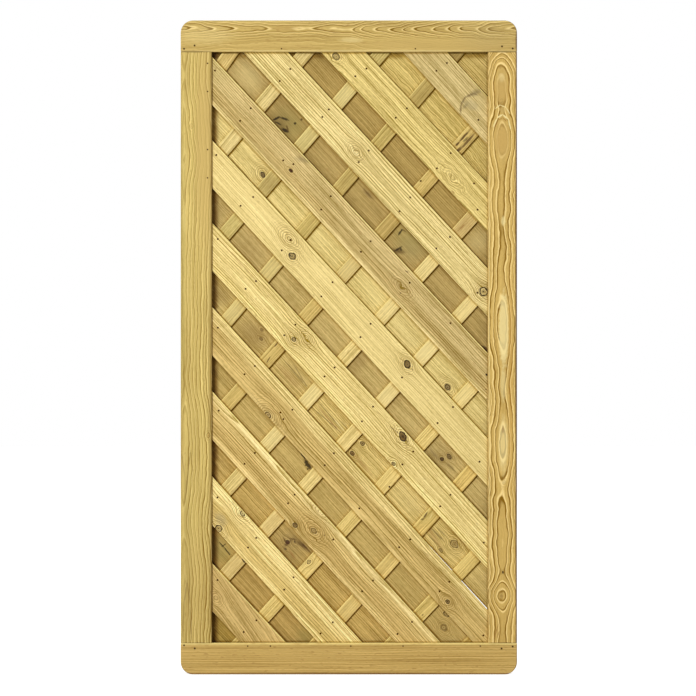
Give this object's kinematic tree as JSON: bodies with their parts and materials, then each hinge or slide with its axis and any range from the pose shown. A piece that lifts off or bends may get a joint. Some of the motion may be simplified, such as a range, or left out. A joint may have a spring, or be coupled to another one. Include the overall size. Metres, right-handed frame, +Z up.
{
  "type": "garden gate",
  "caption": "Upright framed wooden garden gate leaf with rounded outer corners and a closed, layered infill of diagonal boards crossed by battens.",
  "frame": {"origin": "middle of the bottom edge, at half the frame's thickness", "axes": "+Z up along the stiles, +X to the right seen from the front, -Y out of the front face"},
  "size_m": [0.9, 0.045, 1.75],
  "materials": {
    "top_rail_timber": "planed, pressure-treated pine, matte",
    "bottom_rail_timber": "planed, pressure-treated pine, matte",
    "left_stile_timber": "planed, pressure-treated pine, matte",
    "right_stile_timber": "planed, pressure-treated pine, matte",
    "front_board_timber": "planed, pressure-treated pine, matte",
    "batten_timber": "planed, pressure-treated pine, matte",
    "back_board_timber": "planed, pressure-treated pine, matte",
    "pin_steel": "dull steel, sunk just below the timber"
  },
  "bodies": {
    "root": {"top_rail": "top_rail_timber", "bottom_rail": "bottom_rail_timber", "left_stile": "left_stile_timber", "right_stile": "right_stile_timber", "front_board_01": "front_board_timber", "front_board_02": "front_board_timber", "front_board_03": "front_board_timber", "front_board_04": "front_board_timber", "front_board_05": "front_board_timber", "front_board_06": "front_board_timber", "front_board_07": "front_board_timber", "front_board_08": "front_board_timber", "front_board_09": "front_board_timber", "front_board_10": "front_board_timber", "batten_01": "batten_timber", "batten_02": "batten_timber", "batten_03": "batten_timber", "batten_04": "batten_timber", "batten_05": "batten_timber", "batten_06": "batten_timber", "batten_07": "batten_timber", "batten_08": "batten_timber", "batten_09": "batten_timber", "batten_10": "batten_timber", "batten_11": "batten_timber", "back_board_01": "back_board_timber", "back_board_02": "back_board_timber", "back_board_03": "back_board_timber", "back_board_04": "back_board_timber", "back_board_05": "back_board_timber", "back_board_06": "back_board_timber", "back_board_07": "back_board_timber", "back_board_08": "back_board_timber", "back_board_09": "back_board_timber", "back_board_10": "back_board_timber", "back_board_11": "back_board_timber", "corner_pin_01": "pin_steel", "corner_pin_02": "pin_steel", "corner_pin_03": "pin_steel", "corner_pin_04": "pin_steel", "corner_pin_05": "pin_steel", "corner_pin_06": "pin_steel", "corner_pin_07": "pin_steel", "corner_pin_08": "pin_steel", "board_pin_01": "pin_steel", "board_pin_02": "pin_steel", "board_pin_03": "pin_steel", "board_pin_04": "pin_steel", "board_pin_05": "pin_steel", "board_pin_06": "pin_steel", "board_pin_07": "pin_steel", "board_pin_08": "pin_steel", "board_pin_09": "pin_steel", "board_pin_10": "pin_steel", "board_pin_11": "pin_steel"}
  },
  "joints": []
}
